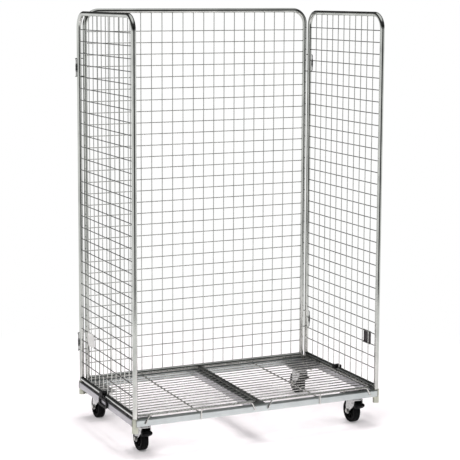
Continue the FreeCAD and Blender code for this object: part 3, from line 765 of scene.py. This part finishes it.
# ---------------------------------------------------------------- casters
TREAD_THICK = 12 * MM
TREAD_SHOULDER = 5 * MM
TREAD_FLAT = 7 * MM
GROOVE_HALF, GROOVE_DEPTH = 0.4 * MM, 0.25 * MM
SIDE_GROOVE_DEPTH = 0.8 * MM
HUB_RIBS = 8
HUB_HALF = 12 * MM
WEB_HALF = 3.6 * MM
RIB_START, RIB_STOP_SHORT = 11 * MM, 4.2 * MM
RIB_HALF_THICK, RIB_SLOPE = 1.1 * MM, 1.5 * MM


def mirrored(points):
    return [(-x, radius) for x, radius in reversed(points)]


def wheel(corner):
    """Tread with rounded shoulders, a parting groove round its middle and a groove on each side."""
    label = corner + "_caster_"
    low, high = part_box(label + "tyre")
    centre = (low + high) / 2
    r = (high.z - low.z) / 2
    half = (high.x - low.x) / 2
    seat = r - TREAD_THICK
    near = []
    for k in range(9):
        a = math.pi / 2 * k / 8
        near.append((-half + TREAD_SHOULDER * (1 - math.cos(a)), r - TREAD_SHOULDER * (1 - math.sin(a))))
    near += [(-half + TREAD_FLAT, r), (-GROOVE_HALF, r)]
    wall = -half + SIDE_GROOVE_DEPTH
    side = [(-half, seat), (-half, seat + 1.2 * MM), (wall, seat + 2 * MM), (wall, seat + 3 * MM),
            (-half, seat + 4 * MM)]
    profile = near + [(0, r - GROOVE_DEPTH)] + mirrored(near) + mirrored(side) + side
    skin = Skin()
    skin.lathe(centre, profile, 96)
    skin.piece(label + "tyre_skin", corner + "_wheel", tread_rubber, "tread", [label + "tyre"], 40)


def hub_detail(corner):
    """Ribs that stand on both sides of the hub's web."""
    label = corner + "_caster_"
    low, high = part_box(label + "hub")
    centre = (low + high) / 2
    rim_r = (high.z - low.z) / 2
    skin = Skin()
    for k in range(HUB_RIBS):
        a = 2 * math.pi * k / HUB_RIBS
        out = Vector((0, math.cos(a), math.sin(a)))
        thick = Vector((0, -math.sin(a), math.cos(a))) * RIB_HALF_THICK
        for side in (-1, 1):
            loops = []
            for radius, depth in ((RIB_START, HUB_HALF), (rim_r - RIB_STOP_SHORT, HUB_HALF - RIB_SLOPE)):
                mid = centre + out * radius
                inner = Vector((side * WEB_HALF, 0, 0))
                outer = Vector((side * depth, 0, 0))
                loops.append([mid - thick + inner, mid + thick + inner,
                              mid + thick + outer, mid - thick + outer])
            skin.loft(loops)
    skin.piece(label + "hub_ribs", corner + "_wheel", wheel_plastic, "wheel_plastic")


def pedal_skin(corner):
    """Moulded brake pedal: full rounded lobe in front, arm to the pivot and a shoe over the tread."""
    label = corner + "_caster_"
    low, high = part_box(label + "pedal")
    joint = next(j for j in frame["record"]["behaviour"]["joints"] if j["name"] == corner + "_brake_press")
    pivot = Vector(joint["pos_m"])
    front_y = low.y
    back_y = pivot.y - 6 * MM
    top, bottom = high.z - 5 * MM, low.z - 4 * MM
    neck_top, neck_bottom = pivot.z + 1 * MM, pivot.z - 6 * MM
    tip_lift = 11 * MM
    half_lobe, half_arm = 23 * MM, 18 * MM
    loops = []
    steps, sides = 20, 40
    for k in range(steps + 1):
        y = back_y + (front_y - back_y) * (1 - (1 - k / steps) ** 1.8)
        reach = (back_y - y) / (back_y - front_y)
        swell = min(reach / 0.30, 1.0)
        swell = swell * swell * (3 - 2 * swell)
        past = max((reach - 0.60) / 0.40, 0.0)
        nose = math.sqrt(max(1 - past ** 2.6, 0.0004))
        crest = neck_top + (top - neck_top) * min(reach / 0.62, 1.0)
        keel = neck_bottom + (bottom - neck_bottom) * swell + tip_lift * max((reach - 0.30) / 0.70, 0.0)
        centre_z = (crest + keel) / 2
        half_tall = (crest - keel) / 2 * nose
        wide = (half_arm + (half_lobe - half_arm) * swell) * (0.55 + 0.45 * nose)
        loop = []
        for i in range(sides):
            a = 2 * math.pi * i / sides
            c, s = math.cos(a), math.sin(a)
            loop.append((pivot.x + wide * math.copysign(abs(c) ** 0.6, c), y,
                         centre_z + half_tall * math.copysign(abs(s) ** 0.8, s)))
        loops.append(loop)
    skin = Skin()
    skin.loft(loops)
    barrel_r, pin_r, half_pin = 4.8 * MM, 3 * MM, 22 * MM
    skin.bar(pivot - Vector((half_arm, 0, 0)), pivot + Vector((half_arm, 0, 0)), barrel_r, 24)
    skin.bar(pivot - Vector((half_pin, 0, 0)), pivot + Vector((half_pin, 0, 0)), pin_r, 16)
    shoe = []
    # Side view of the shoe in mm: in front of the pivot, below it, and half width there.
    for ahead, drop, wide in ((4.6, 1, 13.5), (4.8, 8, 13.5), (4.6, 11.6, 12.5),
                              (1.2, 11.6, 12.5), (0.8, 8, 13.5), (0.0, 1, 13.5)):
        shoe.append((pivot.y - ahead * MM, pivot.z - drop * MM, wide * MM))
    skin.loft([[(pivot.x + side * wide, y, z) for y, z, wide in shoe] for side in (-1, 1)])
    ridges, first_ridge, ridge_pitch = 4, 14 * MM, 3.4 * MM
    half_ridge, ridge_r, ridge_sink = 11 * MM, 0.9 * MM, 0.5 * MM
    for k in range(ridges):
        y, z = front_y + first_ridge + ridge_pitch * k, top - ridge_sink
        skin.bar((pivot.x - half_ridge, y, z), (pivot.x + half_ridge, y, z), ridge_r, 8)
    skin.piece(label + "pedal_skin", corner + "_pedal", black_plastic, "black_plastic", [label + "pedal"])


for corner in ("front_left", "front_right", "rear_left", "rear_right"):
    wheel(corner)
    hub_detail(corner)
    pedal_skin(corner)


# ---------------------------------------------------------------- finishes of the CAD nodes that stay
def finish_for(node):
    """Material and slot of a node that no piece above replaces."""
    if node.endswith("_plate") and "caster" in node or node.endswith(("_fork", "_kingpin")):
        return caster_zinc, "caster_steel"
    if node.endswith("_axle") or node == "caster_bolts":
        return bolt_zinc, "caster_bolt"
    if node.endswith("_hub"):
        return wheel_plastic, "wheel_plastic"
    if node.endswith("_name_plate"):
        return bare_plate, "plate"
    if node.endswith(("_pedal", "_clip")):
        return black_plastic, "black_plastic"
    # All other nodes take the rail zinc that is darkened as painted shade.
    return painted_shade_rail_zinc, "zinc_rail"


for name, obj in frame["nodes"].items():
    if not obj.hide_render:
        material, slot = finish_for(name)
        obj.data.materials.clear()
        obj.data.materials.append(material)


# ---------------------------------------------------------------- stage, light, camera
def seen_ray(nt):
    """1 for camera, glossy and transmission rays, 0 for the rays that carry diffuse light."""
    path = nt.nodes.new("ShaderNodeLightPath")
    direct = math_node(nt, "MAXIMUM", path.outputs["Is Camera Ray"], path.outputs["Is Glossy Ray"])
    return math_node(nt, "MAXIMUM", direct, path.outputs["Is Transmission Ray"])


def floor():
    """Round sheet of pale paper that fades into the white background; its darker pink tone near the cage is a
    painted shadow, tinted pink as painted bounce light.
    """
    rings = [0.0, 1.2, 2.4, 3.2]
    sides = 64
    verts, faces = [], []
    angles = [2 * math.pi * k / sides for k in range(sides)]
    for r in rings:
        verts += [(r * math.cos(a), r * math.sin(a), 0) for a in angles]
    for i in range(len(rings) - 1):
        for k in range(sides):
            a = i * sides + k
            b = i * sides + (k + 1) % sides
            faces.append((a, b, b + sides, a + sides))
    mesh = bpy.data.meshes.new("floor")
    mesh.from_pydata(verts, [], faces)
    obj = bpy.data.objects.new("floor", mesh)
    bpy.context.scene.collection.objects.link(obj)
    m, nt, shader = new_material("floor_paper_and_painted_shadow")
    shader.inputs["Roughness"].default_value = 0.9
    shader.inputs["Specular IOR Level"].default_value = 0.0
    where = position(nt)
    # Darker pinkish base colour: a painted shadow near the cage, tinted pink as painted bounce light.
    grain = ramp(nt, noise(nt, where, 14.0), [(0.3, (0.86, 0.805, 0.825)), (0.7, (0.89, 0.84, 0.86))])
    nt.links.new(grain, shader.inputs["Base Color"])
    glow = nt.nodes.new("ShaderNodeEmission")
    glow.inputs["Color"].default_value = (1, 1, 1, 1)
    length = nt.nodes.new("ShaderNodeVectorMath")
    length.operation = "LENGTH"
    nt.links.new(where, length.inputs[0])
    # The white glow grows with distance, so the painted shadow stays near the cage.
    fade = span(nt, length.outputs["Value"], 0.16, 1.0, (0.65, 2.0))
    mix = nt.nodes.new("ShaderNodeMixShader")
    nt.links.new(math_node(nt, "MULTIPLY", fade, seen_ray(nt)), mix.inputs["Fac"])
    nt.links.new(shader.outputs["BSDF"], mix.inputs[1])
    nt.links.new(glow.outputs["Emission"], mix.inputs[2])
    nt.links.new(mix.outputs["Shader"], nt.nodes["Material Output"].inputs["Surface"])
    mesh.materials.append(m)


floor()


def world():
    """White room with a dark band above eye level and a dark door on the side that the cage opens to.

    Bright metal shows both as dark lines.
    """
    w = bpy.data.worlds.new("studio")
    bpy.context.scene.world = w
    w.use_nodes = True
    nt = w.node_tree
    nt.nodes.clear()
    out = nt.nodes.new("ShaderNodeOutputWorld")
    white = nt.nodes.new("ShaderNodeBackground")
    white.inputs["Color"].default_value = (1, 1, 1, 1)
    room = nt.nodes.new("ShaderNodeBackground")
    coord = nt.nodes.new("ShaderNodeTexCoord")
    parts = nt.nodes.new("ShaderNodeSeparateXYZ")
    nt.links.new(coord.outputs["Generated"], parts.inputs["Vector"])
    height = ramp(nt, span(nt, parts.outputs["Z"], 0.0, 1.0, (-0.2, 1.0)),
                  [(0.0, (1.0, 1.0, 1.0)), (0.17, (0.98, 0.99, 0.99)), (0.24, (0.40, 0.41, 0.41)),
                   (0.33, (0.05, 0.05, 0.05)), (0.76, (0.05, 0.05, 0.05)), (0.88, (0.85, 0.86, 0.86)),
                   (1.0, (1.0, 1.0, 1.0))])
    door = ramp(nt, span(nt, parts.outputs["Y"], 0.0, 1.0, (-1.0, 0.0)),
                [(0.0, (0.05, 0.05, 0.05)), (0.10, (0.10, 0.10, 0.10)), (0.22, (0.85, 0.85, 0.86)),
                 (0.35, (1, 1, 1))])
    mix = nt.nodes.new("ShaderNodeMix")
    mix.data_type = "RGBA"
    mix.blend_type = "MULTIPLY"
    mix.inputs["Factor"].default_value = 1.0
    nt.links.new(height, mix.inputs["A"])
    nt.links.new(door, mix.inputs["B"])
    nt.links.new(mix.outputs["Result"], room.inputs["Color"])
    path = nt.nodes.new("ShaderNodeLightPath")
    blend = nt.nodes.new("ShaderNodeMixShader")
    nt.links.new(path.outputs["Is Camera Ray"], blend.inputs["Fac"])
    nt.links.new(room.outputs["Background"], blend.inputs[1])
    nt.links.new(white.outputs["Background"], blend.inputs[2])
    nt.links.new(blend.outputs["Shader"], out.inputs["Surface"])


world()


def lamp(name, place, size, power):
    """Large soft lamp aimed at the middle of the cage; metal shows the room, not the lamp."""
    data = bpy.data.lights.new(name, "AREA")
    data.shape = "SQUARE"
    data.size = size
    data.energy = power
    obj = bpy.data.objects.new(name, data)
    bpy.context.scene.collection.objects.link(obj)
    obj.location = place
    obj.rotation_euler = (Vector((0, 0, 0.6)) - Vector(place)).to_track_quat("-Z", "Y").to_euler()
    obj.visible_glossy = False


lamp("key", (-3.2, -2.6, 3.6), 2.4, 150)
lamp("fill", (3.4, -2.0, 2.6), 2.6, 80)
lamp("top", (0, 0.3, 4.6), 2.4, 190)

camera = bpy.data.objects.new("camera", bpy.data.cameras.new("camera"))
bpy.context.scene.collection.objects.link(camera)
camera.location = (-2.6068, -5.5361, 1.8474)
camera.rotation_euler = Euler([math.radians(a) for a in (82.5141, -0.0938, -24.0552)])
camera.data.sensor_width = 36
camera.data.lens = 112.915
camera.data.shift_x = 0.06576
camera.data.shift_y = -0.1
camera.data.clip_start = 0.1
camera.data.clip_end = 60
bpy.context.scene.camera = camera
bpy.context.scene.view_settings.view_transform = "Standard"
